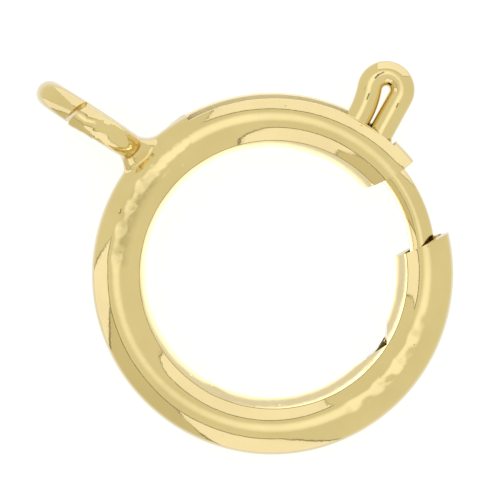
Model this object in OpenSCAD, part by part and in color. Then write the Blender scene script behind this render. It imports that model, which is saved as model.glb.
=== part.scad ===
// Spring ring clasp: a ring of rolled tube, closed by a sprung wire tongue with a thumb loop, and an open
// attaching ring soldered to its side. It lies on a flat surface as it would by itself, propped at a slight
// tilt by the attaching ring. The origin is the middle of the ring, +Z is up, and the attaching ring is at -X.

/* [Ring of tube] */
// Outer diameter of the ring
ring_d = 12; // [10:0.1:16]
// Outer diameter of the tube
tube_d = 1.9; // [1.7:0.05:2.2]
// Wall of the tube
wall_t = 0.25; // [0.2:0.01:0.3]
// Height of the seam on the inner side, as an angle round the tube
seam_angle = 45; // [30:1:60]
// Width of the seam line
seam_w = 0.05; // [0.03:0.01:0.08]
// Depth of the seam line
seam_depth = 0.06; // [0.03:0.01:0.1]

/* [Opening and slot] */
// Width of the opening, at the middle of the tube
gap_w = 2.6; // [2:0.1:3]
// Angle between the two cuts of the opening
gap_flare = 5.5; // [0:0.5:12]
// Direction of the opening from the pull line
gap_angle = 66; // [55:1:75]
// Turn of the opening's cuts from the radius
gap_turn = 1.75; // [-4:0.25:4]
// Slant of the cut that is next to the slot
gap_slant = 4; // [0:0.5:6]
// Whole tube left between the opening and the slot
lip_len = 0.53; // [0.4:0.01:1]
// Clearance of the wire in the slot, each side
slot_clear = 0.08; // [0.04:0.01:0.12]
// Gap between the thumb loop and the end of the slot that stops it
stop_clear = 0.18; // [0.05:0.01:0.3]

/* [Tongue and thumb loop] */
// Clearance of the wire in the tube, each side
bore_clear = 0.28; // [0.15:0.01:0.32]
// Length of the tongue inside the far mouth
tip_len = 0.6; // [0.3:0.05:1]
// Radius that the tongue is bent to, at the middle of the wire
tongue_r = 4.47; // [4.3:0.01:5]
// How far the tongue stands out of the tube's middle at the near mouth
tongue_out = 0.12; // [0:0.01:0.14]
// Turn of the tongue from closed to its stop
travel = 52; // [40:1:60]
// Height of the middle of the loop's head over the ring
head_h = 1.17; // [1:0.01:1.5]
// Diameter of the hole in the loop's head
head_hole_d = 0.24; // [0.1:0.02:0.4]
// Width of the slit between the two strands
slit_w = 0.03; // [0.02:0.01:0.1]
// Lean of the strands from the radius
strand_lean = 4.2; // [0:0.1:8]
// Radius of the two bends inside the tube, at the middle of the wire
bend_r = 0.6; // [0.56:0.01:0.8]
// How far the tail reaches past the slot, as an angle
tail_cover = 2; // [1:0.5:6]

/* [Spring] */
// Clearance of the coil in the tube, each side
coil_clear = 0.15; // [0.1:0.01:0.2]
// Diameter of the spring wire
coil_wire_d = 0.18; // [0.12:0.01:0.22]
// Distance between two open turns
coil_pitch = 0.56; // [0.4:0.02:0.8]
// Gap at each end of the coil
coil_end_clear = 0.05; // [0.02:0.01:0.1]

/* [Pinched stop] */
// Direction of the stop from the pull line
stop_angle = 8.3; // [0:0.1:14]
// Length of the dent on the side of the opening
dent_up = 0.52; // [0.4:0.02:0.7]
// Length of the dent on the far side
dent_down = 0.84; // [0.4:0.02:1]
// Reach of the dent below the middle of the tube
dent_low = 0.62; // [0.4:0.02:0.7]
// Thickness of the tab pressed into the tube
tab_t = 0.2; // [0.1:0.01:0.25]

/* [Attaching ring] */
// Outer diameter of the attaching ring
attach_d = 4.06; // [3.6:0.02:5]
// Diameter of its wire
attach_wire_d = 0.9; // [0.7:0.02:1]
// Turn of the attaching ring from the pull line
attach_turn = 7; // [0:0.5:10]
// Depth that it sinks into the tube
attach_sink = 0.08; // [0.04:0.01:0.12]
// Width of the cut in the attaching ring
cut_w = 0.13; // [0.05:0.01:0.2]
// Place of the cut, as an angle from the top
cut_angle = 20.5; // [10:0.5:35]
// Slant of the cut
cut_slant = 15.5; // [0:0.5:25]
// Radius of the solder fillet on the side of the slot
solder_r_slot = 0.75; // [0.4:0.05:1]
// Radius of the solder fillet on the other side
solder_r_far = 0.52; // [0.3:0.02:0.8]
// Radius of the solder fillets above and below
solder_r_top = 0.3; // [0.1:0.01:0.36]
// Depth that the fillets run into the metal they join
solder_bite = 0.02; // [0.01:0.005:0.04]

/* [Hidden] */
gold = [0.87, 0.77, 0.47];
pale_gold = [0.90, 0.81, 0.53];
spring_steel = [0.72, 0.70, 0.66];
$fn = 64;
full_turn = 360;
degrees_per_radian = 180 / PI;

// Radii of the ring and the tube
ring_r = ring_d / 2;
tube_r = tube_d / 2;
bore_r = tube_r - wall_t;
mid_r = ring_r - tube_r;
inner_r = mid_r - tube_r;
seam_r = mid_r - tube_r * cos(seam_angle);
seam_h = tube_r * sin(seam_angle);

// The wire of the tongue, and the slot that it slides in
wire_r = bore_r - bore_clear;
wire_d = 2 * wire_r;
slot_w = wire_d + 2 * slot_clear;

// Angles of the two mouths, at the middle of the tube
gap_half_angle = asin(gap_w / 2 / mid_r);
mouth_near = gap_angle + gap_half_angle;
mouth_far = gap_angle - gap_half_angle;
tip_angle = mouth_far - tip_len / mid_r * degrees_per_radian;

// The thumb loop stands behind the closed end of the slot. Its strands are parallel lines, each a distance
// to the left of the ring's middle along the direction that they point in.
slot_front = mouth_near + lip_len / mid_r * degrees_per_radian;
strand_step = wire_r + slit_w / 2;
strands_half = strand_step + wire_r;
loop_front = slot_front + stop_clear / ring_r * degrees_per_radian;
loop_angle = loop_front - strand_lean + asin(sin(strand_lean) + strands_half / ring_r);
strand_dir = loop_angle + strand_lean;
slit_left = -ring_r * sin(strand_lean);
front_left = slit_left - strand_step;
rear_left = slit_left + strand_step;
loop_rear = strand_dir + asin((rear_left + wire_r) / ring_r);
slot_rear = loop_rear + travel + stop_clear / ring_r * degrees_per_radian;
tail_angle = slot_rear + tail_cover;

// The head of the loop is an arc that the front strand touches. The rear strand leaves it at the turn that
// a wide arc needs to come back beside the front strand.
loop_base = ring_r * cos(strand_lean);
head_r = (head_hole_d + wire_d) / 2;
head_up = loop_base + head_h;
head_left = front_left + head_r;
rear_drop = head_up - loop_base;
rear_in = head_left + head_r - rear_left;
rear_turn = 2 * atan(rear_in / rear_drop);
waist_r = rear_drop / sin(rear_turn) - head_r;

// The tongue is bent round a middle of its own, a little off the ring's middle towards the near mouth
tongue_off = mid_r + tongue_out - tongue_r;
tongue_up = tongue_off * cos(mouth_near - strand_dir);
tongue_left = tongue_off * sin(mouth_near - strand_dir);
tip_swing = mouth_near - tip_angle;
tip_r = tongue_off * cos(tip_swing) + sqrt(pow(tongue_r, 2) - pow(tongue_off * sin(tip_swing), 2));
tip_turn = mouth_near - asin(tip_r * sin(tip_swing) / tongue_r);

// Middles of the two bends that join the strands to the curved wire in the tube
front_bend_left = front_left - bend_r;
rear_bend_left = rear_left + bend_r;
front_bend_up = tongue_up + sqrt(pow(tongue_r + bend_r, 2) - pow(front_bend_left - tongue_left, 2));
rear_bend_up = sqrt(pow(mid_r + bend_r, 2) - pow(rear_bend_left, 2));
front_turn = atan((tongue_left - front_bend_left) / (front_bend_up - tongue_up));
rear_bend_turn = atan(rear_bend_left / rear_bend_up);

// Steps in which the wire's bends are drawn
wire_sides = 20;
long_step = 3.5;
bend_step = 10;
tip_steps = 4;

// The coil fills the tube between the tail and the pinched stop
coil_r = bore_r - coil_clear - coil_wire_d / 2;
coil_from = tail_angle + coil_end_clear / mid_r * degrees_per_radian;
coil_to = full_turn + stop_angle - coil_end_clear / mid_r * degrees_per_radian;
closed_pitch = 1.25 * coil_wire_d;
coil_first = coil_from + coil_wire_d / 2 / mid_r * degrees_per_radian;
coil_last = coil_to - coil_wire_d / 2 / mid_r * degrees_per_radian;
closed_step = closed_pitch / mid_r * degrees_per_radian;
open_span = coil_last - coil_first - 2 * closed_step;
open_turns = floor(open_span / degrees_per_radian * mid_r / coil_pitch);
coil_turns = open_turns + 2;
coil_steps = 9;
coil_sides = 5;

// The attaching ring stands across the pull line, and props the clasp up at a tilt
attach_r = attach_d / 2;
attach_wire_r = attach_wire_d / 2;
attach_x = attach_r * cos(attach_turn)
    + sqrt(pow(ring_r - attach_sink, 2) - pow(attach_r * sin(attach_turn), 2));
joint_angle = 180 - asin(attach_r * sin(attach_turn) / (ring_r - attach_sink));
rest_tilt = asin((attach_r - tube_r) / (attach_x + mid_r));

// The solder's fillets above and below touch the tube and the attaching ring
solder_near = tube_r - solder_bite + solder_r_top;
solder_far = attach_r - solder_bite + solder_r_top;
solder_span = tube_r + attach_r - attach_sink;
solder_x = (pow(solder_near, 2) - pow(solder_far, 2) + pow(solder_span, 2)) / (2 * solder_span);
solder_z = sqrt(pow(solder_near, 2) - pow(solder_x, 2));
solder_reach = asin(tube_d / ring_r);

// Its fillets at the sides touch the tube and the sides of the attaching ring, which leans from the radius
solder_lean = 180 + attach_turn - joint_angle;
solder_foot_r = ring_r - solder_bite;
solder_half = attach_wire_r - solder_bite;

// A point at a distance and angle from the ring's middle
function polar(r, a) = [r * cos(a), r * sin(a)];

// One place along the tongue's wire: a point, the heading there and the radius of the wire
function place(point, heading, r = wire_r) = [point[0], point[1], heading, r];

// A ring of points round the wire at one place
function wire_section(at) =
    let (x = at[0], y = at[1], aside = at[2] + 90, r = at[3])
    [for (k = [0:wire_sides - 1])
        let (b = full_turn * k / wire_sides)
        [x + r * cos(b) * cos(aside), y + r * cos(b) * sin(aside), r * sin(b)]];

// Places along an arc of the wire, in a frame turned by an angle about the ring's middle. The way round is
// counter-clockwise where the arc's end is larger than its start.
function arc_places(turned, middle, r, from, to, step) =
    let (count = ceil(abs(to - from) / step), way = to > from ? 90 : -90)
    [for (k = [0:count])
        let (a = from + (to - from) * k / count, flat = middle + polar(r, a))
        place(
            [
                flat[0] * cos(turned) - flat[1] * sin(turned),
                flat[0] * sin(turned) + flat[1] * cos(turned)
            ],
            turned + a + way
        )];

// Places over the rounded end of the tongue, up to the full wire
function tip_places() =
    [for (k = [1:tip_steps - 1])
        let (a = 90 * k / tip_steps)
        place(
            polar(tip_r, tip_angle) - wire_r * cos(a) * polar(1, tip_turn + 90),
            tip_turn + 90,
            wire_r * sin(a)
        )];

// Places along the whole wire, from the tongue's tip round the thumb loop to the tail's end
function wire_places() =
    concat(
        tip_places(),
        arc_places(strand_dir, [tongue_up, tongue_left],
            tongue_r, tip_turn - strand_dir, -front_turn, long_step),
        skip_first(arc_places(strand_dir, [front_bend_up, front_bend_left],
            bend_r, 180 - front_turn, 90, bend_step)),
        arc_places(strand_dir, [head_up, head_left], head_r, -90, 90 + rear_turn, bend_step),
        skip_first(arc_places(strand_dir, [loop_base, rear_left + waist_r],
            waist_r, -90 + rear_turn, -90, bend_step)),
        arc_places(strand_dir, [rear_bend_up, rear_bend_left],
            bend_r, 270, 180 + rear_bend_turn, bend_step),
        skip_first(arc_places(0, [0, 0], mid_r, strand_dir + rear_bend_turn, tail_angle, long_step))
    );

// A list without its first entry, where one arc starts at the end of another
function skip_first(list) = [for (k = [1:len(list) - 1]) list[k]];

// Angle along the tube after a number of turns of the coil, which closes up at both ends
function coil_angle(turn) =
    turn < 1 ? coil_first + closed_step * turn :
    turn > coil_turns - 1 ? coil_last - closed_step * (coil_turns - turn) :
    coil_first + closed_step + open_span * (turn - 1) / open_turns;

// Middle of the spring wire after a number of turns
function coil_point(turn) =
    let (a = coil_angle(turn), r = mid_r + coil_r * cos(full_turn * turn))
    [r * cos(a), r * sin(a), coil_r * sin(full_turn * turn)];

// One ring of points round the spring wire
function coil_section(turn) =
    let (
        p = coil_point(turn),
        ahead = coil_point(turn + 0.01) - coil_point(turn - 0.01),
        dir = ahead / norm(ahead),
        a = coil_angle(turn),
        out = cos(full_turn * turn) * [cos(a), sin(a), 0] + [0, 0, sin(full_turn * turn)],
        side_raw = cross(dir, out),
        side = side_raw / norm(side_raw),
        up = cross(side, dir)
    )
    [for (k = [0:coil_sides - 1])
        let (b = full_turn * k / coil_sides)
        p + coil_wire_d / 2 * (cos(b) * up + sin(b) * side)];

// Puts a shape made flat in the ring's own plane into the pose in which the clasp lies
module at_rest() {
    rotate([0, rest_tilt, 0]) children();
}

// A full ring with a round section
module ring_of(r) {
    rotate_extrude() translate([mid_r, 0]) circle(r = r);
}

// Everything on one side of a mouth's cut, towards the other mouth. The way is 1 for the mouth next to the
// slot and -1 for the far one.
module beyond_cut(way, slant) {
    translate([0, way * gap_w / 2, 0])
        rotate([slant, 0, way * gap_flare / 2])
            translate([0, -way * tube_d, 0])
                cube(2 * tube_d, center = true);
}

// The wedge between the tube's two mouths
module opening_cut() {
    translate(polar(mid_r, gap_angle))
        rotate([0, 0, gap_angle + gap_turn])
            intersection() {
                beyond_cut(1, gap_slant);
                beyond_cut(-1, 0);
            }
}

// The slot along the outer side, in which the thumb loop slides
module slot_cut() {
    rotate([0, 0, slot_front])
        rotate_extrude(angle = slot_rear - slot_front)
            translate([mid_r, -slot_w / 2]) square([tube_d, slot_w]);
}

// The fine line where the strip that the tube was rolled from meets
module seam_cut() {
    rotate_extrude()
        translate([seam_r, seam_h])
            rotate(-seam_angle)
                square([2 * seam_depth, seam_w], center = true);
}

// The dent of the pinched stop, up to the seam
module dent_cut() {
    up_x = sqrt(pow(inner_r, 2) - pow(dent_up, 2));
    down_x = sqrt(pow(inner_r, 2) - pow(dent_down, 2));
    rotate([0, 0, stop_angle])
        translate([0, 0, -dent_low])
            linear_extrude(height = dent_low + seam_h)
                polygon([
                    [seam_r, 0],
                    [up_x, dent_up],
                    [up_x - wall_t, dent_up],
                    [down_x - wall_t, -dent_down],
                    [down_x, -dent_down]
                ]);
}

// The metal that the dent presses into the tube, which holds the end of the spring
module stop_tab() {
    root = [sqrt(pow(inner_r, 2) - pow(dent_up, 2)), dent_up];
    edge = [seam_r, 0];
    along = (edge - root) / norm(edge - root);
    inward = [-along[1], along[0]];
    intersection() {
        rotate([0, 0, stop_angle])
            translate([0, 0, -dent_low])
                linear_extrude(height = dent_low + seam_h)
                    polygon([
                        root - inward * wall_t / 2,
                        edge - inward * wall_t / 2,
                        edge + inward * tab_t,
                        root + inward * tab_t
                    ]);
        ring_of(tube_r - wall_t / 2);
    }
}

// The open attaching ring, with its slanted cut
module attaching_ring() {
    translate([-attach_x, 0, 0])
        rotate([0, 0, attach_turn])
            difference() {
                rotate([90, 0, 0])
                    rotate_extrude()
                        translate([attach_r - attach_wire_r, 0]) circle(r = attach_wire_r);
                rotate([0, -cut_angle, 0])
                    translate([0, 0, attach_r - attach_wire_r])
                        rotate([0, 0, -cut_slant])
                            cube([cut_w, 3 * attach_wire_d, 2 * attach_wire_d], center = true);
            }
}

// The solder on one side of the attaching ring, a concave fillet turned about the middle of the tube. The
// way is 1 for the side away from the slot and -1 for the slot's side.
module solder_side(way, r) {
    turned = way * solder_lean + asin((solder_half + r - way * attach_x * sin(attach_turn)) / (solder_foot_r + r));
    middle = polar(solder_foot_r + r, turned) - [mid_r, 0];
    rotate_extrude()
        difference() {
            square(middle);
            translate(middle) circle(r = r);
        }
}

// The solder's outline from the side, between the round of the tube and the round of the attaching ring
module solder_edge() {
    translate([mid_r, 0])
        difference() {
            polygon([[0, 0], [solder_x, solder_z], [solder_span, 0], [solder_x, -solder_z]]);
            translate([solder_x, solder_z]) circle(r = solder_r_top);
            translate([solder_x, -solder_z]) circle(r = solder_r_top);
        }
}

// The solder that joins the attaching ring to the tube
module solder() {
    rotate([0, 0, joint_angle])
        intersection() {
            rotate([0, 0, -solder_reach])
                rotate_extrude(angle = 2 * solder_reach)
                    solder_edge();
            translate([mid_r, 0, 0])
                union() {
                    rotate([90, 0, 0]) solder_side(-1, solder_r_slot);
                    rotate([-90, 0, 0]) solder_side(1, solder_r_far);
                }
        }
}

// The ring of tube with the attaching ring soldered on
module body() {
    color(gold) at_rest()
        difference() {
            union() {
                difference() {
                    union() {
                        ring_of(tube_r);
                        attaching_ring();
                        solder();
                    }
                    ring_of(bore_r);
                }
                stop_tab();
            }
            dent_cut();
            seam_cut();
            slot_cut();
            opening_cut();
        }
}

// A closed solid through rings of points, all with the same number of sides
module swept(rings, side_count) {
    ring_count = len(rings);
    sides = [for (k = [0:ring_count - 2], s = [0:side_count - 1])
        let (a = k * side_count + s, b = k * side_count + (s + 1) % side_count)
        each [[a, b, b + side_count], [a, b + side_count, a + side_count]]];
    start_cap = [for (s = [0:side_count - 1]) side_count - 1 - s];
    end_cap = [for (s = [0:side_count - 1]) (ring_count - 1) * side_count + s];
    polyhedron(points = [for (ring = rings) each ring], faces = concat(sides, [start_cap], [end_cap]));
}

// The tongue, the thumb loop and the tail, bent from one wire
module tongue() {
    color(pale_gold) at_rest()
        swept([for (at = wire_places()) wire_section(at)], wire_sides);
}

// The coil in the tube behind the tail
module spring() {
    color(spring_steel) at_rest()
        swept([for (k = [0:coil_turns * coil_steps]) coil_section(k / coil_steps)], coil_sides);
}

body();
tongue();
spring();
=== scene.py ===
# Looks of the spring ring clasp: the ring of rolled tube, the soldered attaching ring, the sprung tongue
# with its thumb loop and the coil behind it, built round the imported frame. Pieces are modelled in
# millimetres in the ring's own flat plane, then leaned to the pose in which the clasp lies and brought to
# metres.
import math

import bmesh
import bpy
from mathutils import Matrix, Vector


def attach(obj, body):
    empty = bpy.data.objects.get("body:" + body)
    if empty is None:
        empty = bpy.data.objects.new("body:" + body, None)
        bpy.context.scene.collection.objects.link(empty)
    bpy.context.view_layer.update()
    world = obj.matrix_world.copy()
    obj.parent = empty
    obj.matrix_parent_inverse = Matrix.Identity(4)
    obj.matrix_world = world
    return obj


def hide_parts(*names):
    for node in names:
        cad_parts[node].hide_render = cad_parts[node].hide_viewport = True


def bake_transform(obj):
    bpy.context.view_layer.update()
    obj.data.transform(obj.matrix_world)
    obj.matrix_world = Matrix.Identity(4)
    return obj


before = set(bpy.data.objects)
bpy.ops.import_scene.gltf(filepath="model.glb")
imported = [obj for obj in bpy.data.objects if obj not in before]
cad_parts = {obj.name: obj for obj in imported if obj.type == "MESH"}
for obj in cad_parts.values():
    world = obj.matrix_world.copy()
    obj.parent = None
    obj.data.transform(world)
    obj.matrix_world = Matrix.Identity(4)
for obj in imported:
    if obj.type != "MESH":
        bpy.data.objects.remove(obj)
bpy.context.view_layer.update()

MM = 0.001

# Sizes of the ring of tube, in millimetres, and angles in degrees from the pull line
MID_R = 5.05
TUBE_R = 0.95
WALL = 0.25
CREST_OUT = 0.12
SEAM_SIDE = 48.75
SEAM_SHIFT = 0.17
SEAM_DROP = 0.15
SEAM_W = 0.04
SEAM_DEPTH = 0.01
SEAM_END = 1
FLANK_BULGE = 0.1
GAP_W = 2.6
GAP_ANGLE = 66
GAP_TURN = 1.75
GAP_FLARE = 5.5
GAP_SLANT = 4
MOUTH_NEAR = GAP_ANGLE + math.degrees(math.asin(GAP_W / 2 / MID_R))
MOUTH_FAR = GAP_ANGLE - math.degrees(math.asin(GAP_W / 2 / MID_R))
MOUTH_SPARE = 6
MOUTH_REACH = 12
LIP_LEN = 0.53
SLOT_FRONT = MOUTH_NEAR + math.degrees(LIP_LEN / MID_R)
SLOT_UP = 0.6
SLOT_DOWN = 0.5
LIP_FLARE = 0.13
LIP_FADE = 0.02
LIP_FADE_REACHES = (2.2, 4.4, 6.6)
LIP_FADE_LOW = -0.6
LIP_FADE_HIGH = 0.12
STAIN_END = 0.5
RIM_BEVEL = 0.035

# Sides of the tube, and stretches into which its sweeps are divided
TUBE_SIDES = 96
MOUTH_STEPS = 9
SLOT_STEPS = 50
RING_STEPS = 180

# Sizes of the tongue and its thumb loop
WIRE_R = 0.42
TONGUE_R = 4.47
TONGUE_OUT = 0.12
TIP_LEN = 0.6
TRAVEL = 52
STOP_CLEAR = 0.18
HEAD_H = 1.17
HEAD_HOLE_D = 0.24
SLIT_W = 0.05
STRAND_LEAN = 4.2
BEND_R = 0.6
TAIL_COVER = 2
END_ROUND = 0.36
END_ROUND_STEPS = 6
END_ANGLE = 60

# Sides of the tongue's wire, and stretches into which its sweeps are divided
WIRE_SIDES = 40
TONGUE_STEPS = 40
BEND_STEPS = 14
HEAD_STEPS = 40
WAIST_STEPS = 16
TAIL_STEPS = 36

# Sizes of the pinched stop
STOP_ANGLE = 8.3
DENT_UP = 0.73
DENT_DOWN = 1.15
DENT_LOW = 0.62
DENT_R = 4.43
FLAP_X = 4.23
FLAP_T = 0.22
FLAP_LEN = 0.66
FLAP_TOP = 0.3
FLAP_LOW = 0.52
FLAP_SLOPE = 0.14
FLAP_TWIST = 0.03
FLAP_BEVEL = 0.02

# Sizes of the coil
COIL_WIRE_R = 0.09
COIL_CLEAR = 0.15
COIL_END_CLEAR = 0.05
COIL_TURNS = 33
COIL_STEPS = 18
COIL_CLOSED_STEP = 2.5 * COIL_WIRE_R

# Sizes of the attaching ring
ATTACH_R = 2.03
ATTACH_WIRE_R = 0.45
ATTACH_TURN = 7
ATTACH_SINK = 0.08
CUT_W = 0.15
CUT_STEP = 0.06
CUT_ANGLE = 20.5
CUT_SLANT = 15.5
CUT_BEVEL = 0.03
CUT_STEP_REACHES = (0.9, 0.55, 0.3)
CUT_STEP_ABOVE = 0.5
ATTACH_STEPS = 112
ATTACH_SIDES = 48

# Drops of solder, each with its place and its radius
SOLDER_DROPS = [((-6.05, 0.13, 0.66), 0.2), ((-6.2, -0.22, 0.5), 0.18), ((-5.98, 0.62, 0.42), 0.2),
                ((-5.98, -0.42, 0.4), 0.18), ((-5.92, 0.3, 0.55), 0.2)]

# Sides on which the solder is cut from the frame's solid, each with a point and the way inwards
SOLDER_SIDES = [((-4.9, 0, 0), (-1, 0, 0)), ((-7.6, 0, 0), (1, 0, 0)),
                ((0, 2.3, 0), (0, -1, 0)), ((0, -2.1, 0), (0, 1, 0))]
SOLDER_VOXEL = 0.045
SOLDER_PASSES = 45

# Sizes of the solder's fillet, the part of its skin that is drawn down to the tube
FILLET_MIDDLE = Vector((-6.05, 0.05, 0.45))
FILLET_SKIN = 0.12
FILLET_FULL = 1.2
FILLET_FADE = 0.7
FILLET_PASSES = (14, 5, 0)
FILLET_GAP = 0.003

# The camera: where the photograph shows the ring, in pixels, and its distance in metres
PHOTO_SIZE = 500
RING_PIXEL = Vector((272.5, 273.75))
PIXELS_PER_MM = 30.17
PHOTO_TURN = 40.07
CAMERA_DISTANCE = 0.5
SENSOR = 36

# Light, with angles in degrees, the card's sizes in millimetres and those of the sheets and floor in metres
TENT_LIGHT = (0.89, 0.865, 0.73)
GLOW_LIGHT = (1.3, 1.3, 1.28)
GLOW_AT = 120
GLOW_RISE = 81
GLOW_SPREAD = 27
BELOW_LIGHT = (1.0, 1.02, 1.1)
BELOW_SPREAD = 56
BELOW_FULL = 35
CARD_R = 3.5
CARD_OFF = 0.3
CARD_BELOW = 0.05
CARD_LIGHT = (1, 1, 1.1)
CARD_MIDDLE = 0.95
CARD_RIM = 3.3
CARD_RISE_FROM = 0.7
CARD_RISE_TO = 2.9
FLOOR_SIZE = 4
FLOOR_COLOUR = (0.35, 0.35, 0.345)
FLOOR_GLOW = 0.79
FLOOR_SHADE = 0.97
SOFTBOX_AWAY = 1
SOFTBOX_TOP = 45
SOFTBOX_LOW = 0.85
FRAME_BEHIND = 1.01
FRAME_TOP = 0.12
FRAME_SIDE = 0.022
FRAME_LIGHT = (0.28, 0.265, 0.19)
BRIGHT_LIGHT = (1.2, 1.18, 1.2)
SHADE_LIGHT = (0.78, 0.74, 0.58)

# Each softbox's name, direction in the photograph, half the angle it takes up, lean of its top, and colour
SOFTBOXES = [("softbox_right", 69, 39, 0.06, BRIGHT_LIGHT), ("softbox_low", 268, 19, -0.12, BRIGHT_LIGHT),
             ("softbox_left", 189, 13, -0.07, BRIGHT_LIGHT), ("softbox_shade", 226, 22, -0.08, SHADE_LIGHT)]

# Tolerances in millimetres, apart from the last, which merges the frame's loose triangles and is in metres
ON_LINE = 0.01
MERGE_NEAR = 0.0015
CUT_NEAR = 0.00001
SAME_POINT = 0.000001

# Edges sharper than the first angle are eased, and faces that meet in less than the second shade as one
SHARP_ANGLE = 50
SMOOTH_ANGLE = 32

# Worked out from the sizes
RING_R = MID_R + TUBE_R
INNER_R = MID_R - TUBE_R
CREST_R = MID_R + CREST_OUT
CREST_CURVE = TUBE_R - CREST_OUT
SEAM_R = CREST_R - CREST_CURVE * math.cos(math.radians(SEAM_SIDE)) - SEAM_SHIFT
SEAM_H = TUBE_R - CREST_CURVE * (1 - math.sin(math.radians(SEAM_SIDE))) - SEAM_DROP
STRAND_STEP = WIRE_R + SLIT_W / 2
LEAN = math.radians(STRAND_LEAN)
LOOP_FRONT = SLOT_FRONT + math.degrees(STOP_CLEAR / RING_R)
LOOP_ANGLE = LOOP_FRONT - STRAND_LEAN + math.degrees(
    math.asin(math.sin(LEAN) + (STRAND_STEP + WIRE_R) / RING_R))
STRAND_DIR = LOOP_ANGLE + STRAND_LEAN
FRONT_LEFT = -RING_R * math.sin(LEAN) - STRAND_STEP
REAR_LEFT = -RING_R * math.sin(LEAN) + STRAND_STEP
LOOP_REAR = STRAND_DIR + math.degrees(math.asin((REAR_LEFT + WIRE_R) / RING_R))
SLOT_REAR = LOOP_REAR + TRAVEL + math.degrees(STOP_CLEAR / RING_R)
TAIL_ANGLE = SLOT_REAR + TAIL_COVER
ATTACH_X = ATTACH_R * math.cos(math.radians(ATTACH_TURN)) + math.sqrt(
    (RING_R - ATTACH_SINK) ** 2 - (ATTACH_R * math.sin(math.radians(ATTACH_TURN))) ** 2)
REST_TILT = math.asin((ATTACH_R - TUBE_R) / (ATTACH_X + MID_R))
FLOOR_Z = -TUBE_R - MID_R * math.sin(REST_TILT)


# Small helpers for modelling


def polar(radius, degrees):
    """A point in the ring's plane at a distance and direction from its middle."""
    angle = math.radians(degrees)
    return Vector((radius * math.cos(angle), radius * math.sin(angle), 0))


def direction(point):
    """Direction of a point from the ring's middle, in degrees from 0 to 360."""
    return math.degrees(math.atan2(point.y, point.x)) % 360


def begin(name):
    """Names the primitive just added, fixes its place in its mesh and opens it in edit mode."""
    piece = bpy.context.object
    piece.name = name
    piece.data.name = name
    bpy.ops.object.select_all(action="DESELECT")
    piece.select_set(True)
    bpy.ops.object.transform_apply(location=True, rotation=True, scale=True)
    bpy.ops.object.mode_set(mode="EDIT")
    return piece


def reopen(piece):
    """Selects one piece alone and opens it in edit mode."""
    bpy.ops.object.select_all(action="DESELECT")
    bpy.context.view_layer.objects.active = piece
    piece.select_set(True)
    bpy.ops.object.mode_set(mode="EDIT")


def close():
    """Leaves edit mode."""
    bpy.ops.object.mode_set(mode="OBJECT")


def middle_of(element):
    """The middle of a point, an edge or a face."""
    if hasattr(element, "co"):
        return element.co
    return sum((point.co for point in element.verts), Vector()) / len(element.verts)


def choose(kind, test):
    """In edit mode, selects the verts, edges or faces whose middle passes the test, and nothing else."""
    bpy.ops.mesh.select_mode(type={"verts": "VERT", "edges": "EDGE", "faces": "FACE"}[kind])
    bpy.ops.mesh.select_all(action="DESELECT")
    mesh = bmesh.from_edit_mesh(bpy.context.object.data)
    for element in getattr(mesh, kind):
        if test(middle_of(element)):
            element.select_set(True)
    mesh.select_flush_mode()
    bmesh.update_edit_mesh(bpy.context.object.data)


def move(x=0, y=0, z=0):
    """Moves what is selected."""
    bpy.ops.transform.translate(value=(x, y, z))


def turn(degrees, axis, centre=(0, 0, 0)):
    """Turns what is selected about an axis. Without a window the operator turns the other way."""
    bpy.ops.transform.rotate(value=-math.radians(degrees), orient_axis=axis, center_override=centre)


def stretch(x=1, y=1, z=1, centre=(0, 0, 0)):
    """Scales what is selected about a point."""
    bpy.ops.transform.resize(value=(x, y, z), center_override=centre)


def sweep(degrees, steps, centre=(0, 0, 0)):
    """Spins the selected points counter-clockwise in the ring's plane. Spin itself goes clockwise."""
    bpy.ops.mesh.spin(steps=steps, angle=-math.radians(degrees), center=centre, axis=(0, 0, 1))


def cut(point, normal, keep_front=False, fill=False):
    """Bisects what is selected. It may keep only the part in front of the plane, and may close the cut."""
    bpy.ops.mesh.bisect(
        plane_co=point, plane_no=normal, threshold=CUT_NEAR, clear_inner=keep_front, use_fill=fill)


def face_out():
    """Turns all faces outwards."""
    bpy.ops.mesh.select_all(action="SELECT")
    bpy.ops.mesh.normals_make_consistent(inside=False)


def apply(piece, kind, **settings):
    """Adds a modifier to a piece and applies it."""
    bpy.context.view_layer.objects.active = piece
    modifier = piece.modifiers.new(kind.lower(), kind)
    for name, value in settings.items():
        setattr(modifier, name, value)
    bpy.ops.object.modifier_apply(modifier=modifier.name)


def ease_edges(piece, width, segments=2, sharper_than=SHARP_ANGLE):
    """Rounds the edges of a piece that are sharper than an angle."""
    apply(piece, "BEVEL", width=width, segments=segments, limit_method="ANGLE",
          angle_limit=math.radians(sharper_than))


def remove(piece):
    """Deletes a helper object."""
    bpy.data.objects.remove(piece)


def finish_piece(piece, body, slot, *nodes):
    """Merges close points, leans a piece to the resting pose, brings it to metres, smooths it and ties it
    to the frame."""
    reopen(piece)
    bpy.ops.mesh.select_all(action="SELECT")
    bpy.ops.mesh.remove_doubles(threshold=MERGE_NEAR)
    bpy.ops.mesh.dissolve_degenerate(threshold=MERGE_NEAR)
    bpy.ops.mesh.select_all(action="SELECT")
    turn(math.degrees(REST_TILT), "Y")
    stretch(MM, MM, MM)
    close()
    bpy.ops.object.shade_smooth_by_angle(angle=math.radians(SMOOTH_ANGLE), keep_sharp_edges=True)
    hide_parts(*nodes)
    if body:
        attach(piece, body)


# The ring of tube


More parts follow.
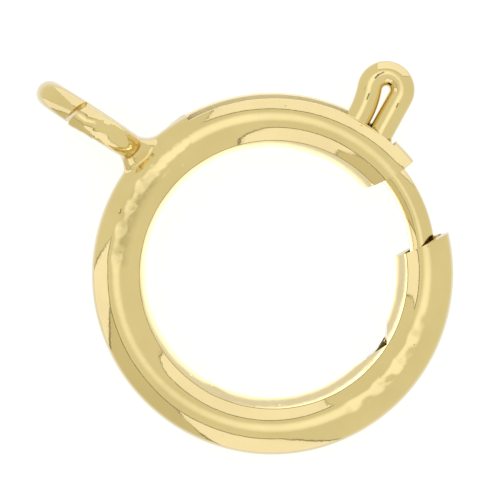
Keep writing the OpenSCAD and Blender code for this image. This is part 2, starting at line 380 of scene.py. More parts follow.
def swept_tube():
    """The tube's outer skin as an open shell, with its mouths and its slot."""
    bpy.ops.mesh.primitive_circle_add(
        vertices=TUBE_SIDES, radius=TUBE_R, location=(MID_R, 0, 0), rotation=(math.pi / 2, 0, 0))
    tube = begin("ring_tube")
    shape_section()
    bpy.ops.mesh.select_all(action="SELECT")
    start = MOUTH_NEAR - MOUTH_SPARE
    turn(start, "Z")
    sweep(SLOT_FRONT - start, MOUTH_STEPS)
    sweep(SLOT_REAR - SLOT_FRONT, SLOT_STEPS)
    sweep(360 + MOUTH_FAR + MOUTH_SPARE - SLOT_REAR, RING_STEPS)
    face_out()
    cut_mouth(1, MOUTH_NEAR, GAP_SLANT)
    cut_mouth(-1, MOUTH_FAR, 0)
    cut_slot()
    close()
    return tube


def shape_section():
    """Shapes the upper half of the tube's section: a tighter crest and a flatter flank below the seam."""
    smaller = CREST_CURVE / TUBE_R
    choose("verts", lambda p: p.z > ON_LINE)
    move(x=CREST_OUT)
    stretch(x=smaller, z=smaller, centre=(CREST_R, 0, TUBE_R))
    choose("verts", lambda p: ON_LINE < p.z < SEAM_H + SEAM_DROP + ON_LINE and p.x < CREST_R)
    move(x=-SEAM_SHIFT, z=-SEAM_DROP)
    foot = (INNER_R, 0, 0)
    lean = math.degrees(math.atan((SEAM_R - INNER_R) / SEAM_H))
    wider = (SEAM_R - INNER_R) / (SEAM_R - CREST_R + CREST_CURVE + SEAM_SHIFT)
    choose("verts", lambda p: ON_LINE < p.z < SEAM_H - ON_LINE and p.x < CREST_R)
    stretch(x=wider, centre=(SEAM_R, 0, SEAM_H))
    turn(-lean, "Y", foot)
    stretch(x=FLANK_BULGE, centre=foot)
    turn(lean, "Y", foot)


def cut_mouth(way, mouth, slant):
    """Cuts the tube off at one mouth. The way is 1 for the mouth next to the slot."""
    place = Matrix.Translation(polar(MID_R, GAP_ANGLE)) @ Matrix.Rotation(
        math.radians(GAP_ANGLE + GAP_TURN), 4, "Z")
    lean = Matrix.Rotation(math.radians(way * GAP_FLARE / 2), 4, "Z") @ Matrix.Rotation(
        math.radians(slant), 4, "X")
    into_metal = (place @ lean).to_3x3() @ Vector((0, way, 0))
    point = place @ Vector((0, way * GAP_W / 2, 0))
    choose("faces", lambda p: abs(direction(p) - mouth) < MOUTH_REACH)
    cut(point, into_metal, keep_front=True)


def cut_slot():
    """Opens the slot along the outer side, flares its lower lip and lets the flare fade out behind it."""
    def beside_slot(p):
        return SLOT_FRONT < direction(p) < SLOT_REAR and p.xy.length > MID_R

    for height in (SLOT_UP, -SLOT_DOWN):
        choose("faces", beside_slot)
        cut((0, 0, height), (0, 0, 1))
    choose("faces", lambda p: beside_slot(p) and -SLOT_DOWN < p.z < SLOT_UP)
    bpy.ops.mesh.delete(type="FACE")
    choose("verts", lambda p: beside_slot(p) and abs(p.z + SLOT_DOWN) < ON_LINE)
    flare = 1 + LIP_FLARE / RING_R
    stretch(flare, flare)
    flare = 1 + LIP_FADE / RING_R
    for reach in LIP_FADE_REACHES:
        choose("verts", lambda p: SLOT_REAR < direction(p) < SLOT_REAR + reach and p.xy.length > MID_R
               and LIP_FADE_LOW < p.z < LIP_FADE_HIGH)
        stretch(flare, flare)


def press_seam(tube):
    """Sinks the fine line where the rolled strip's edges meet, and paints it darker as the shade in its
    groove.
    """
    def on_seam(p):
        return abs(p.xy.length - SEAM_R) < ON_LINE and abs(p.z - SEAM_H) < ON_LINE

    def from_gap(p):
        return (direction(p) - GAP_ANGLE) % 360

    along = [from_gap(point.co) for point in tube.data.vertices if on_seam(point.co)]
    start = min(along) + SEAM_END
    end = max(along) - SEAM_END
    reopen(tube)
    choose("edges", lambda p: on_seam(p) and start < from_gap(p) < end)
    bpy.ops.mesh.bevel(offset=SEAM_W / 2, segments=2, affect="EDGES")
    # Painted shade: the seam's strip takes the darker seam material
    tube.active_material_index = tube.data.materials.find("seam_shadow")
    bpy.ops.object.material_slot_assign()
    choose("edges", lambda p: abs(p.xy.length - SEAM_R) < SEAM_W and abs(p.z - SEAM_H) < SEAM_W)
    bpy.ops.mesh.mark_sharp()
    choose("verts", on_seam)
    bpy.ops.transform.shrink_fatten(value=-SEAM_DEPTH)
    close()


def stain_lips(tube):
    """Gives the slot's two lips their rubbed amber edge."""
    reopen(tube)
    choose("faces", lambda p: SLOT_FRONT < direction(p) < SLOT_REAR - STAIN_END and p.xy.length > MID_R
           and -SLOT_DOWN - RIM_BEVEL < p.z < SLOT_UP + RIM_BEVEL)
    tube.active_material_index = tube.data.materials.find("amber_stain")
    bpy.ops.object.material_slot_assign()
    close()


def stop_cutter():
    """The wedge of metal that the pinched stop takes out of the tube's inner side."""
    upper = math.sqrt(INNER_R ** 2 - DENT_UP ** 2)
    lower = math.sqrt(INNER_R ** 2 - DENT_DOWN ** 2)
    inside = INNER_R - 2 * WALL
    bpy.ops.mesh.primitive_cube_add(
        size=1, location=((DENT_R + inside) / 2, 0, (SEAM_H - DENT_LOW) / 2),
        scale=(DENT_R - inside, DENT_UP + DENT_DOWN, SEAM_H + DENT_LOW))
    wedge = begin("stop_cutter")
    tip = DENT_R - ON_LINE
    choose("edges", lambda p: p.x > tip and abs(p.y) < ON_LINE)
    bpy.ops.mesh.subdivide(number_cuts=1)
    choose("verts", lambda p: p.y > DENT_DOWN / 2)
    move(y=(DENT_UP - DENT_DOWN) / 2)
    choose("verts", lambda p: p.y < -DENT_DOWN / 2)
    move(y=(DENT_UP - DENT_DOWN) / 2)
    choose("verts", lambda p: p.x > tip and p.y > ON_LINE)
    move(x=upper - DENT_R)
    choose("verts", lambda p: p.x > tip and p.y < -ON_LINE)
    move(x=lower - DENT_R)
    bpy.ops.mesh.select_all(action="SELECT")
    turn(STOP_ANGLE, "Z")
    face_out()
    close()
    return wedge


def add_dent(piece, middle, width, depth):
    """One shallow dent of a maker's tool, soft at its edge. It ends at two and a half times its width."""
    farthest = 2.5
    group = piece.vertex_groups.new(name="dent")
    for point in piece.data.vertices:
        away = (point.co - middle).length / width
        if away < farthest:
            group.add([point.index], math.exp(-away * away), "REPLACE")
    apply(piece, "DISPLACE", vertex_group="dent", strength=-depth, mid_level=0)
    piece.vertex_groups.clear()


def add_tube_dents(tube):
    """The tube's dents: a direction, the degrees outwards from the tube's top, a width and a depth each."""
    dents = [(341, -4, 0.2, 0.03), (347, 3, 0.2, 0.04), (353, -5, 0.2, 0.042), (358, 4, 0.2, 0.04),
             (4, -5, 0.2, 0.042), (10, 2, 0.2, 0.04), (16, -5, 0.2, 0.036), (22, 2, 0.2, 0.026),
             (350, -30, 0.2, 0.025), (1, -32, 0.2, 0.03), (12, -30, 0.2, 0.026),
             (236, 62, 0.24, 0.02), (283, -58, 0.3, 0.02), (170, 50, 0.3, 0.02),
             (170, 15, 0.35, 0.025), (177, 17, 0.35, 0.045), (182, -3, 0.18, 0.04), (186, 9, 0.2, 0.05),
             (190, -9, 0.2, 0.05), (195, 4, 0.17, 0.04), (199, -13, 0.2, 0.05), (203, 9, 0.18, 0.045),
             (208, -5, 0.2, 0.04), (213, 5, 0.2, 0.03), (186, -22, 0.2, 0.03), (194, -26, 0.2, 0.035),
             (204, -24, 0.18, 0.025), (199, 22, 0.2, 0.03), (191, 25, 0.2, 0.03)]
    for place, side, width, depth in dents:
        out = math.sin(math.radians(side)) * TUBE_R
        up = math.cos(math.radians(side)) * TUBE_R
        add_dent(tube, polar(CREST_R + out, place) + Vector((0, 0, up)), width, depth)


def make_tube():
    """The ring of tube, given its wall, the pinched stop, eased rims, the seam and the dents."""
    tube = swept_tube()
    for material in (tube_gold(), inner_brass_shade(), amber_stain(), seam_shadow()):
        tube.data.materials.append(material)
    apply(tube, "SOLIDIFY", thickness=WALL, offset=-1, use_even_offset=True, material_offset=1)
    wedge = stop_cutter()
    apply(tube, "BOOLEAN", operation="DIFFERENCE", object=wedge, solver="EXACT")
    remove(wedge)
    ease_edges(tube, RIM_BEVEL)
    stain_lips(tube)
    press_seam(tube)
    add_tube_dents(tube)
    finish_piece(tube, "ring", "ring_gold", "body")


def make_stop_flap():
    """The flap of metal pressed into the tube at the stop, painted nearly black as shade so that it shows as
    a dark sliver in the dent.
    """
    bpy.ops.mesh.primitive_cube_add(
        size=1, location=(FLAP_X + FLAP_T / 2, FLAP_LEN / 2, (FLAP_TOP - FLAP_LOW) / 2),
        scale=(FLAP_T, FLAP_LEN, FLAP_TOP + FLAP_LOW))
    flap = begin("stop_flap")
    choose("verts", lambda p: p.x < FLAP_X + ON_LINE and p.z < 0)
    move(x=FLAP_SLOPE)
    choose("verts", lambda p: p.x < FLAP_X + ON_LINE and p.y < ON_LINE)
    move(x=FLAP_TWIST)
    close()
    apply(flap, "BEVEL", width=FLAP_BEVEL, segments=2)
    flap.data.materials.append(flap_painted_shade())
    finish_piece(flap, "ring", "ring_gold", "body")


# The attaching ring and its solder


def make_attaching_ring():
    """The attaching ring, upright beside the tube, with its slanted cut that doesn't quite meet."""
    bpy.ops.mesh.primitive_torus_add(
        major_radius=ATTACH_R - ATTACH_WIRE_R, minor_radius=ATTACH_WIRE_R,
        major_segments=ATTACH_STEPS, minor_segments=ATTACH_SIDES, rotation=(math.pi / 2, 0, 0))
    ring = begin("attaching_ring")
    lean = Matrix.Rotation(math.radians(-CUT_ANGLE), 3, "Y")
    middle = lean @ Vector((0, 0, ATTACH_R - ATTACH_WIRE_R))
    across = lean @ Matrix.Rotation(math.radians(-CUT_SLANT), 3, "Z") @ Vector((1, 0, 0))

    def from_cut(p):
        return (p - middle).dot(across)

    def at_cut(p):
        return (p - middle).length < 2 * ATTACH_WIRE_R

    for side in (-1, 1):
        choose("faces", at_cut)
        cut(middle + side * CUT_W / 2 * across, across)
    choose("faces", lambda p: p.z > 0 and abs(from_cut(p)) < CUT_W / 2 and at_cut(p))
    bpy.ops.mesh.delete(type="FACE")
    bpy.ops.mesh.select_all(action="SELECT")
    bpy.ops.mesh.fill_holes(sides=0)
    for reach in CUT_STEP_REACHES:
        choose("verts", lambda p: 0 < from_cut(p) < reach and p.z > CUT_STEP_ABOVE)
        move(y=-CUT_STEP / len(CUT_STEP_REACHES))
    face_out()
    ring.data.materials.append(attaching_gold())
    ring.data.materials.append(bpy.data.materials["amber_stain"])
    choose("faces", lambda p: p.z > 0 and 0 < from_cut(p) < CUT_W / 2 + ON_LINE
           and (p - middle).length < ATTACH_WIRE_R)
    ring.active_material_index = ring.data.materials.find("amber_stain")
    bpy.ops.object.material_slot_assign()
    bpy.ops.mesh.select_all(action="SELECT")
    turn(ATTACH_TURN, "Z")
    move(x=-ATTACH_X)
    close()
    ease_edges(ring, CUT_BEVEL)
    add_ring_dents(ring)
    finish_piece(ring, "ring", "ring_gold", "body")


def add_ring_dents(ring):
    """The attaching ring's dents: a place seen from above, a width and a depth each."""
    dents = [(-8.15, 0.12, 0.17, 0.04), (-7.85, -0.16, 0.16, 0.04), (-7.62, 0.18, 0.16, 0.04),
             (-7.4, -0.1, 0.15, 0.035), (-7.15, 0.22, 0.17, 0.035), (-7, -0.05, 0.15, 0.03)]
    for x, y, width, depth in dents:
        top = math.sqrt(ATTACH_R ** 2 - (x + ATTACH_X) ** 2) - y * y
        add_dent(ring, Vector((x, y, top)), width, depth)


def weigh_fillet(solder):
    """Marks the outer skin near the joint, which is drawn smoothly down to the tube afterwards."""
    fillet = solder.vertex_groups.new(name="fillet")
    for point in solder.data.vertices:
        tube_middle = (point.co.xy.normalized() * MID_R).to_3d()
        if (point.co - tube_middle).length > TUBE_R - FILLET_SKIN:
            away = ((point.co - FILLET_MIDDLE).length - FILLET_FULL) / FILLET_FADE
            fillet.add([point.index], min(max(1 - away, 0), 1), "REPLACE")


def make_solder():
    """The solder that runs from the tube up the attaching ring, cut from a copy of the frame's solid."""
    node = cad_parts["body"]
    solder = bpy.data.objects.new("solder_joint", node.data.copy())
    bpy.context.collection.objects.link(solder)
    solder.data.transform(node.matrix_world)
    solder.data.materials.clear()
    reopen(solder)
    bpy.ops.mesh.select_all(action="SELECT")
    bpy.ops.mesh.remove_doubles(threshold=SAME_POINT)
    stretch(1 / MM, 1 / MM, 1 / MM)
    turn(-math.degrees(REST_TILT), "Y")
    for place, radius in SOLDER_DROPS:
        bpy.ops.mesh.primitive_ico_sphere_add(radius=radius, location=place, subdivisions=3)
    for point, inwards in SOLDER_SIDES:
        bpy.ops.mesh.select_all(action="SELECT")
        cut(point, inwards, keep_front=True, fill=True)
    close()
    apply(solder, "REMESH", mode="VOXEL", voxel_size=SOLDER_VOXEL)
    reopen(solder)
    bpy.ops.mesh.select_all(action="SELECT")
    bpy.ops.mesh.vertices_smooth(factor=0.5, repeat=SOLDER_PASSES)
    close()
    weigh_fillet(solder)
    solder.data.materials.append(bpy.data.materials["tube_gold"])
    finish_piece(solder, "ring", "ring_gold", "body")
    for passes in FILLET_PASSES:
        apply(solder, "SHRINKWRAP", target=bpy.data.objects["ring_tube"], vertex_group="fillet",
              wrap_mode="OUTSIDE", offset=FILLET_GAP * MM)
        if passes:
            apply(solder, "SMOOTH", factor=0.5, iterations=passes, vertex_group="fillet")
    solder.vertex_groups.clear()


# The tongue with its thumb loop


def in_strand_frame(along, left):
    """A point given along the strands and to their left."""
    return Matrix.Rotation(math.radians(STRAND_DIR), 3, "Z") @ Vector((along, left, 0))


def make_tongue():
    """One wire, swept arc by arc from its tip in the far mouth round the thumb loop to its tail."""
    swing_off = MID_R + TONGUE_OUT - TONGUE_R
    tongue_middle = polar(swing_off, MOUTH_NEAR)
    tip_angle = MOUTH_FAR - math.degrees(TIP_LEN / MID_R)
    swing = math.radians(MOUTH_NEAR - tip_angle)
    tip_r = swing_off * math.cos(swing) + math.sqrt(TONGUE_R ** 2 - (swing_off * math.sin(swing)) ** 2)
    tip_turn = MOUTH_NEAR - math.degrees(math.asin(tip_r * math.sin(swing) / TONGUE_R))
    aside = Matrix.Rotation(math.radians(-STRAND_DIR), 3, "Z") @ tongue_middle

    head_r = (HEAD_HOLE_D + 2 * WIRE_R) / 2
    loop_base = RING_R * math.cos(LEAN)
    head_up = loop_base + HEAD_H
    head_left = FRONT_LEFT + head_r
    rear_turn = 2 * math.atan((head_left + head_r - REAR_LEFT) / HEAD_H)
    waist_r = HEAD_H / math.sin(rear_turn) - head_r
    front_bend_left = FRONT_LEFT - BEND_R
    front_bend_up = aside.x + math.sqrt((TONGUE_R + BEND_R) ** 2 - (front_bend_left - aside.y) ** 2)
    front_turn = math.degrees(math.atan((aside.y - front_bend_left) / (front_bend_up - aside.x)))
    rear_bend_left = REAR_LEFT + BEND_R
    rear_bend_up = math.sqrt((MID_R + BEND_R) ** 2 - rear_bend_left ** 2)
    rear_bend_turn = math.degrees(math.atan(rear_bend_left / rear_bend_up))
    rear_turn = math.degrees(rear_turn)

    start = tongue_middle + polar(TONGUE_R, tip_turn)
    bpy.ops.mesh.primitive_circle_add(
        vertices=WIRE_SIDES, radius=WIRE_R, location=start,
        rotation=(math.pi / 2, 0, math.radians(tip_turn)))
    tongue = begin("tongue_wire")
    bpy.ops.mesh.select_all(action="SELECT")
    sweep(STRAND_DIR - front_turn - tip_turn, TONGUE_STEPS, tongue_middle)
    sweep(-(90 - front_turn), BEND_STEPS, in_strand_frame(front_bend_up, front_bend_left))
    straight = in_strand_frame(head_up - front_bend_up, 0)
    bpy.ops.mesh.extrude_region_move(TRANSFORM_OT_translate={"value": straight})
    sweep(180 + rear_turn, HEAD_STEPS, in_strand_frame(head_up, head_left))
    sweep(-rear_turn, WAIST_STEPS, in_strand_frame(loop_base, REAR_LEFT + waist_r))
    straight = in_strand_frame(rear_bend_up - loop_base, 0)
    bpy.ops.mesh.extrude_region_move(TRANSFORM_OT_translate={"value": straight})
    sweep(-(90 - rear_bend_turn), BEND_STEPS, in_strand_frame(rear_bend_up, rear_bend_left))
    sweep(TAIL_ANGLE - STRAND_DIR - rear_bend_turn, TAIL_STEPS)
    bpy.ops.mesh.select_all(action="SELECT")
    bpy.ops.mesh.fill_holes(sides=0)
    face_out()
    close()
    ease_edges(tongue, END_ROUND, END_ROUND_STEPS, END_ANGLE)
    tongue.data.materials.append(tongue_gold())
    finish_piece(tongue, "tongue", "tongue_gold", "tongue")


# The coil in the tube


def make_coil():
    """The spring, a curve wound by a loop and thickened to its wire, with one closed turn at each end."""
    radius = TUBE_R - WALL - COIL_CLEAR - COIL_WIRE_R
    end_room = math.degrees((COIL_END_CLEAR + COIL_WIRE_R) / MID_R)
    first = TAIL_ANGLE + end_room
    last = 360 + STOP_ANGLE - end_room
    closed = math.degrees(COIL_CLOSED_STEP / MID_R)
    open_turns = COIL_TURNS - 2
    span = last - first - 2 * closed
    line = bpy.data.curves.new("coil_line", "CURVE")
    line.dimensions = "3D"
    line.bevel_depth = COIL_WIRE_R
    line.bevel_resolution = 2
    line.use_fill_caps = True
    spline = line.splines.new("POLY")
    count = COIL_TURNS * COIL_STEPS
    spline.points.add(count)
    for index, point in enumerate(spline.points):
        turns = index / COIL_STEPS
        opened = min(max(turns - 1, 0), open_turns)
        along = first + closed * (turns - opened) + span * opened / open_turns
        around = math.radians(360 * turns)
        place = polar(MID_R + radius * math.cos(around), along)
        point.co = (place.x, place.y, radius * math.sin(around), 1)
    coil = bpy.data.objects.new("coil_spring", line)
    bpy.context.collection.objects.link(coil)
    bpy.ops.object.select_all(action="DESELECT")
    bpy.context.view_layer.objects.active = coil
    coil.select_set(True)
    bpy.ops.object.convert(target="MESH")
    coil = bpy.context.object
    coil.data.materials.append(spring_steel())
    finish_piece(coil, None, "spring_wire", "spring")
    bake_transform(coil)


# Materials


class Material:
    """A node material with a metal shader, and short calls to add and join its nodes."""

    def __init__(self, name, colour, roughness, metal=1):
        self.material = bpy.data.materials.new(name)
        self.material.use_nodes = True
        self.tree = self.material.node_tree
        self.shader = self.tree.nodes["Principled BSDF"]
        self.shader.inputs["Base Color"].default_value = (*colour, 1)
        self.shader.inputs["Metallic"].default_value = metal
        self.shader.inputs["Roughness"].default_value = roughness
        self.place = self.add("ShaderNodeTexCoord").outputs["Object"]

    def add(self, kind, inputs=None, **settings):
        """A new node with its settings, and with a value or another node's output on each input named."""
        node = self.tree.nodes.new(kind)
        for name, value in settings.items():
            setattr(node, name, value)
        for name, value in (inputs or {}).items():
            socket = node.inputs[name]
            if isinstance(value, bpy.types.NodeSocket):
                self.tree.links.new(value, socket)
            else:
                socket.default_value = value
        return node

    def mapping(self, scale=(1, 1, 1), turn=(0, 0, 0)):
        """Object coordinates in millimetres, turned and stretched."""
        millimetres = self.add("ShaderNodeMapping", {
            "Vector": self.place, "Scale": (1 / MM, 1 / MM, 1 / MM)})
        return self.add("ShaderNodeMapping", {
            "Vector": millimetres.outputs[0], "Rotation": turn, "Scale": scale}).outputs[0]

    def noise(self, size, detail, roughness=0.5, scale=(1, 1, 1), turn=(0, 0, 0)):
        """Noise whose blots are about size millimetres wide."""
        return self.add("ShaderNodeTexNoise", {
            "Vector": self.mapping(scale, turn), "Scale": 1 / size,
            "Detail": detail, "Roughness": roughness}).outputs[0]

    def ramp(self, value, stops):
        """A run of colours or greys, each with its place between 0 and 1."""
        node = self.add("ShaderNodeValToRGB", {"Fac": value})
        while len(node.color_ramp.elements) < len(stops):
            node.color_ramp.elements.new(0.5)
        for element, (place, colour) in zip(node.color_ramp.elements, stops):
            element.position = place
            element.color = (*colour, 1) if isinstance(colour, tuple) else (colour, colour, colour, 1)
        return node.outputs[0]

    def mix(self, amount, below, above):
        """One colour laid over another. The node's colours are its inputs 6 and 7 and its output 2."""
        node = self.add("ShaderNodeMix", {0: amount}, data_type="RGBA")
        for index, colour in ((6, below), (7, above)):
            if isinstance(colour, bpy.types.NodeSocket):
                self.tree.links.new(colour, node.inputs[index])
            else:
                node.inputs[index].default_value = (*colour, 1)
        return node.outputs[2]

    def math(self, operation, first, second):
        """A sum or a product of two values."""
        return self.add("ShaderNodeMath", {0: first, 1: second}, operation=operation).outputs[0]

    def bump(self, height, distance, below=None):
        """A bump whose height is given in millimetres, over another one if there is one below."""
        inputs = {"Height": height, "Distance": distance * MM, "Strength": 1.0}
        if below:
            inputs["Normal"] = below
        return self.add("ShaderNodeBump", inputs).outputs[0]

    def near(self, point, reach):
        """One at a point of the ring's flat plane and nothing beyond a reach, both in millimetres."""
        place = Matrix.Rotation(REST_TILT, 3, "Y") @ Vector(point) * MM
        away = self.add("ShaderNodeVectorMath", {0: self.place, 1: tuple(place)}, operation="DISTANCE")
        return self.add("ShaderNodeMapRange", {
            "Value": away.outputs["Value"], "From Min": reach * MM, "From Max": 0.0},
            interpolation_type="SMOOTHSTEP").outputs[0]

    def near_any(self, spots):
        """The sum of near() for a list of points, each with its reach."""
        total = None
        for point, reach in spots:
            spot = self.near(point, reach)
            total = self.math("ADD", total, spot) if total else spot
        return total

    def join(self, name, socket):
        """Leads a node's output to one of the shader's inputs."""
        self.tree.links.new(socket, self.shader.inputs[name])


# Colours of the finishes, then shares of a colour, of the amber and of a finish's roughness
GOLD = (0.80, 0.665, 0.335)
DEEP_GOLD = (0.66, 0.50, 0.20)
AMBER = (0.76, 0.53, 0.19)
DARK_GOLD = (0.12, 0.09, 0.03)
# Darker gold, painted as shade over the highlight on the tube's crest behind the joint
CREST_SHADE_GOLD = (0.6, 0.49, 0.235)
CLOUD_SHADE = 0.93
AMBER_STRENGTH = 0.75
SMOOTHEST = 0.75
ROUGHEST = 1.6


def shaded(colour, share):
    """A colour brought down to a share of its brightness."""
    return tuple(part * share for part in colour)


def polished(name, colour=GOLD, roughness=0.07, lumps=0.008, lump_size=1.2, metal=1,
             amber_spots=(), crinkles=(), dark_nicks_and_reflections=(), painted_shade_spots=()):
    """Polished gold with faint drawn lines, small pits, clouding and slow unevenness. Amber spots, crinkles,
    dark nicks and reflections, and painted shade spots are lists of places with a reach, where the metal is
    amber, crinkled, dark, or painted darker as shade over a highlight. The amber at the tube's joint is
    partly painted shade and a painted reflection, and the dark marks on the tongue are a painted reflection
    of the camera."""
    look = Material(name, colour, roughness, metal)
    clouds = look.ramp(look.noise(size=1.6, detail=4), [(0.35, 0.0), (0.75, 1.0)])
    tone = look.mix(clouds, colour, shaded(colour, CLOUD_SHADE))
    specks = look.add("ShaderNodeTexVoronoi", {
        "Vector": look.mapping(), "Scale": 1.7, "Randomness": 1.0}).outputs["Distance"]
    pits = look.ramp(specks, [(0.03, 1.0), (0.055, 0.0)])
    tone = look.mix(pits, tone, DEEP_GOLD)
    # Painted shade: darker gold near the given spots, broken up by noise, which dims a highlight
    if painted_shade_spots:
        crest_shade = look.ramp(look.noise(size=0.25, detail=2), [(0.35, 1.0), (0.65, 0.5)])
        tone = look.mix(look.math("MULTIPLY", crest_shade, look.near_any(painted_shade_spots)), tone, CREST_SHADE_GOLD)
    # Amber spots: stains, and at the tube's joint also painted shade and a painted reflection of the
    # attaching ring
    if amber_spots:
        blots = look.ramp(look.noise(size=0.5, detail=4, roughness=0.6), [(0.28, 0.0), (0.44, 1.0)])
        amber_amount = look.math("MULTIPLY", look.math("MULTIPLY", blots, look.near_any(amber_spots)), AMBER_STRENGTH)
        tone = look.mix(amber_amount, tone, AMBER)
    # Dark marks: nicks, and on the tongue a painted dark reflection of the camera along the strands' crests
    if dark_nicks_and_reflections:
        tone = look.mix(look.near_any(dark_nicks_and_reflections), tone, DARK_GOLD)
    look.join("Base Color", tone)
    scratches = look.noise(size=0.35, detail=6, roughness=0.65, scale=(1, 1, 0.12), turn=(0.3, 0.2, 0.5))
    fine = look.ramp(scratches, [(0.4, roughness * SMOOTHEST), (0.7, roughness * ROUGHEST)])
    look.join("Roughness", fine)
    surface = look.bump(look.noise(size=lump_size, detail=2), lumps)
    drawn = look.noise(size=0.12, detail=3, scale=(1, 1, 0.15), turn=(0.5, 0.1, 0.9))
    surface = look.bump(drawn, 0.0012, surface)
    if crinkles:
        folds = look.math("MULTIPLY", look.noise(size=0.3, detail=1), look.near_any(crinkles))
        surface = look.bump(folds, 0.03, surface)
    look.join("Normal", look.bump(look.math("MULTIPLY", pits, -1.0), 0.02, surface))
    return look.material


def on_tube(radius, degrees, height):
    """A place on the tube, as plain numbers."""
    place = polar(radius, degrees)
    return place.x, place.y, height


def tube_gold():
    """The tube's metal: amber round the joint, partly a stain and partly painted shade and a painted
    reflection of the attaching ring; beaten near the joint and the stop; and painted shade along the crest
    behind the joint, which dims its highlight there.
    """
    # Painted shade along the crest behind the joint, which dims the crest's highlight there: its first and
    # last direction, its step and its reach
    crest_shade_from = 182
    crest_shade_to = 214
    crest_shade_step = 4
    crest_shade_reach = 0.45
    # Amber round the joint: partly a stain, partly painted shade beside the joint and a painted reflection
    # of the attaching ring
    joint = [((-5.78, 0.27, 0.85), 0.33), ((-5.84, -0.03, 0.85), 0.33), ((-6.45, 0.35, 1.0), 0.45),
             ((-6.45, -0.1, 0.8), 0.3)]
    beaten = [((-5.2, 0.4, 1), 1.0), ((-5.1, -1.0, 1), 0.9), ((-5, 1.3, 1), 0.8), ((5.1, 0, 1), 1.1),
              ((-5.95, 0.15, 0.6), 0.6)]
    crest_shade = [(on_tube(CREST_R, place, TUBE_R), crest_shade_reach)
            for place in range(crest_shade_from, crest_shade_to + 1, crest_shade_step)]
    return polished("tube_gold", amber_spots=joint, crinkles=beaten, painted_shade_spots=crest_shade)


def tongue_gold():
    """The tongue's metal, with a painted reflection: rows of dark dots along the strands' crests stand for
    the camera's dark reflection. Each dash has a start, an end and a number of dots.
    """
    dark_mark_reach = 0.045
    reflection_dashes = [((-1.61, 7.15), (-1.6, 7.3), 5), ((-1.6, 7.3), (-1.52, 7.48), 5),
              ((-1.37, 6.44), (-1.43, 6.62), 5), ((-0.45, 6.87), (-0.48, 6.98), 3)]
    dark_nicks_and_reflections = []
    for start, end, count in reflection_dashes:
        for index in range(count):
            place = Vector(start).lerp(Vector(end), index / (count - 1))
            dark_nicks_and_reflections.append(((place.x, place.y, WIRE_R), dark_mark_reach))
    return polished("tongue_gold", lumps=0.005, lump_size=0.8, dark_nicks_and_reflections=dark_nicks_and_reflections)


def attaching_gold():
    """The attaching ring's metal, amber at its foot and beaten round its cut."""
    amber_spots = [((-6.45, 0.38, 1.0), 0.5), ((-6.5, -0.3, 0.7), 0.4)]
    beaten = [((-7.6, 0.2, 1.6), 1.3)]
    return polished(
        "attaching_gold", roughness=0.09, lumps=0.012, lump_size=0.6, amber_spots=amber_spots, crinkles=beaten)


def inner_brass_shade():
    """The unpolished inside of the tube, painted dark brown as the shade inside the tube."""
    return polished("inner_brass_shade", colour=(0.42, 0.28, 0.09), roughness=0.35)


def flap_painted_shade():
    """The flap's metal in the stop, nearly black: painted shade."""
    return polished("flap_painted_shade", colour=(0.09, 0.075, 0.025), roughness=0.45)


def amber_stain():
    """The rubbed amber edge of the slot's lips and of the attaching ring's cut, with small dark notches
    along the lower lip.
    """
    dark_mark_reach = 0.06
    dark_nicks_and_reflections = [(on_tube(RING_R - dark_mark_reach, place, -SLOT_DOWN), dark_mark_reach)
             for place in (103, 109, 114, 121, 124, 133, 139, 141, 148, 153, 157)]
    return polished("amber_stain", colour=(1, 0.88, 0.56), roughness=0.5, dark_nicks_and_reflections=dark_nicks_and_reflections, metal=0.1)


def seam_shadow():
    """The seam's line: darker gold painted as the shade in its groove."""
    return polished("seam_shadow", colour=(0.52, 0.42, 0.14), roughness=0.4)


def spring_steel():
    """The coil's wire."""
    return polished("spring_steel", colour=(0.55, 0.53, 0.5), roughness=0.25, lumps=0.003, lump_size=0.4)


# Floor, light and camera


def lay_floor():
    """A plain pale floor that isn't mirrored in the metal."""
    bpy.ops.mesh.primitive_plane_add(size=FLOOR_SIZE, location=(0, 0, FLOOR_Z * MM))
    floor = bpy.context.object
    floor.name = "floor"
    look = Material("pale_floor", FLOOR_COLOUR, roughness=0.9, metal=0)
    look.shader.inputs["Specular IOR Level"].default_value = 0
    look.shader.inputs["Emission Color"].default_value = (1, 1, 1, 1)
    look.shader.inputs["Emission Strength"].default_value = FLOOR_GLOW
    grain = look.add("ShaderNodeTexNoise", {"Vector": look.place, "Scale": 60.0, "Detail": 2.0}).outputs[0]
    look.join("Base Color", look.mix(grain, FLOOR_COLOUR, shaded(FLOOR_COLOUR, FLOOR_SHADE)))
    floor.data.materials.append(look.material)
    floor.visible_glossy = False


def lay_card():
    """A bright round card under the ring's opening, which shows in the metal's inner side only."""
    bpy.ops.mesh.primitive_circle_add(
        vertices=64, radius=CARD_R * MM, fill_type="NGON",
        location=(CARD_OFF * MM, 0, (FLOOR_Z - CARD_BELOW) * MM))
    card = bpy.context.object
    card.name = "card"
    look = glowing("card", CARD_LIGHT)
    away = look.add("ShaderNodeVectorMath", {0: look.place}, operation="LENGTH")
    look.join("Emission Strength", look.add("ShaderNodeMapRange", {
        "Value": away.outputs["Value"], "From Min": CARD_RISE_FROM * MM, "From Max": CARD_RISE_TO * MM,
        "To Min": CARD_MIDDLE, "To Max": CARD_RIM}).outputs[0])
    card.data.materials.append(look.material)
    card.visible_camera = False
    card.visible_diffuse = False


def photo_direction(degrees, rise):
    """A direction given as the photograph shows it, with its rise above the floor."""
    around = math.radians(degrees + PHOTO_TURN)
    up = math.radians(rise)
    return Vector((math.cos(around) * math.cos(up), math.sin(around) * math.cos(up), math.sin(up)))


def glowing(name, light):
    """A material that only shines."""
    look = Material(name, (0, 0, 0), roughness=1, metal=0)
    look.shader.inputs["Specular IOR Level"].default_value = 0
    look.shader.inputs["Emission Color"].default_value = (*light, 1)
    look.shader.inputs["Emission Strength"].default_value = 1
    return look


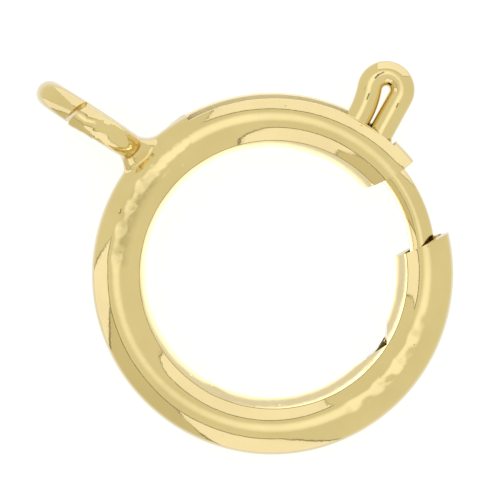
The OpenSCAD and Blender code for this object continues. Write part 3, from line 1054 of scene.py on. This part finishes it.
def add_sheet(name, degrees, width, top, low, lean, distance, light):
    """An upright sheet that faces the clasp, its top leaning sideways. The camera doesn't see it."""
    away = photo_direction(degrees, 0)
    bpy.ops.mesh.primitive_plane_add(size=1, location=(0, 0, 0))
    sheet = bpy.context.object
    sheet.name = name
    sheet.scale = (width, top + low, 1)
    bpy.ops.object.transform_apply(location=False, rotation=False, scale=True)
    reopen(sheet)
    choose("verts", lambda p: p.y > 0)
    move(x=lean)
    choose("verts", lambda p: p.y < 0)
    move(x=-lean)
    close()
    sheet.location = away * distance + Vector((0, 0, (top - low) / 2))
    sheet.rotation_euler = away.to_track_quat("Z", "Y").to_euler()
    sheet.data.materials.append(glowing(name, light).material)
    sheet.visible_camera = False


def add_softbox(name, degrees, spread, lean, light):
    """A lit sheet with a dark frame behind it. Its spread is half the angle that it takes up."""
    width = 2 * math.tan(math.radians(spread)) * SOFTBOX_AWAY
    height = SOFTBOX_AWAY / math.tan(math.radians(SOFTBOX_TOP))
    add_sheet(name, degrees, width, height, SOFTBOX_LOW, lean, SOFTBOX_AWAY, light)
    frame_width = (width + 2 * FRAME_SIDE) * FRAME_BEHIND
    frame_height = (height + FRAME_TOP) * FRAME_BEHIND
    add_sheet(name + "_frame", degrees, frame_width, frame_height, SOFTBOX_LOW, lean,
              SOFTBOX_AWAY * FRAME_BEHIND, FRAME_LIGHT)


def light_studio():
    """A pale tent with a soft glow overhead, a bright ground far below and four sheets round the clasp."""
    world = bpy.data.worlds.new("studio")
    bpy.context.scene.world = world
    world.use_nodes = True
    nodes = world.node_tree.nodes
    links = world.node_tree.links
    ray = nodes.new("ShaderNodeTexCoord")
    above = photo_direction(GLOW_AT, GLOW_RISE)
    patches = [(above, GLOW_SPREAD, 0, GLOW_LIGHT), ((0, 0, -1), BELOW_SPREAD, BELOW_FULL, BELOW_LIGHT)]
    light = None
    for middle, spread, full, colour in patches:
        facing = nodes.new("ShaderNodeVectorMath")
        facing.operation = "DOT_PRODUCT"
        facing.inputs[1].default_value = middle
        ramp = nodes.new("ShaderNodeMapRange")
        ramp.interpolation_type = "SMOOTHSTEP"
        ramp.inputs["From Min"].default_value = math.cos(math.radians(spread))
        ramp.inputs["From Max"].default_value = math.cos(math.radians(full))
        blend = nodes.new("ShaderNodeMixRGB")
        blend.inputs["Color1"].default_value = (*TENT_LIGHT, 1)
        blend.inputs["Color2"].default_value = (*colour, 1)
        links.new(ray.outputs["Generated"], facing.inputs[0])
        links.new(facing.outputs["Value"], ramp.inputs["Value"])
        links.new(ramp.outputs["Result"], blend.inputs["Fac"])
        if light:
            links.new(light, blend.inputs["Color1"])
        light = blend.outputs["Color"]
    links.new(light, nodes["Background"].inputs["Color"])
    for softbox in SOFTBOXES:
        add_softbox(*softbox)


def place_camera():
    """A camera straight above, turned and aimed as the photograph shows the clasp."""
    lens_width = PHOTO_SIZE / PIXELS_PER_MM * MM
    camera_data = bpy.data.cameras.new("camera")
    camera_data.sensor_width = SENSOR
    camera_data.lens = SENSOR * CAMERA_DISTANCE / lens_width
    camera_data.clip_end = 10
    camera = bpy.data.objects.new("camera", camera_data)
    bpy.context.collection.objects.link(camera)
    turned = math.radians(PHOTO_TURN)
    off_middle = (Vector((PHOTO_SIZE, PHOTO_SIZE)) / 2 - RING_PIXEL) / PIXELS_PER_MM * MM
    middle = Matrix.Rotation(turned, 3, "Z") @ Vector((off_middle.x, -off_middle.y, 0))
    camera.location = middle + Vector((0, 0, CAMERA_DISTANCE))
    camera.rotation_euler = (0, 0, turned)
    bpy.context.scene.camera = camera
    bpy.context.scene.view_settings.view_transform = "Standard"


place_camera()
light_studio()
lay_floor()
lay_card()
make_tube()
make_stop_flap()
make_solder()
make_attaching_ring()
make_tongue()
make_coil()
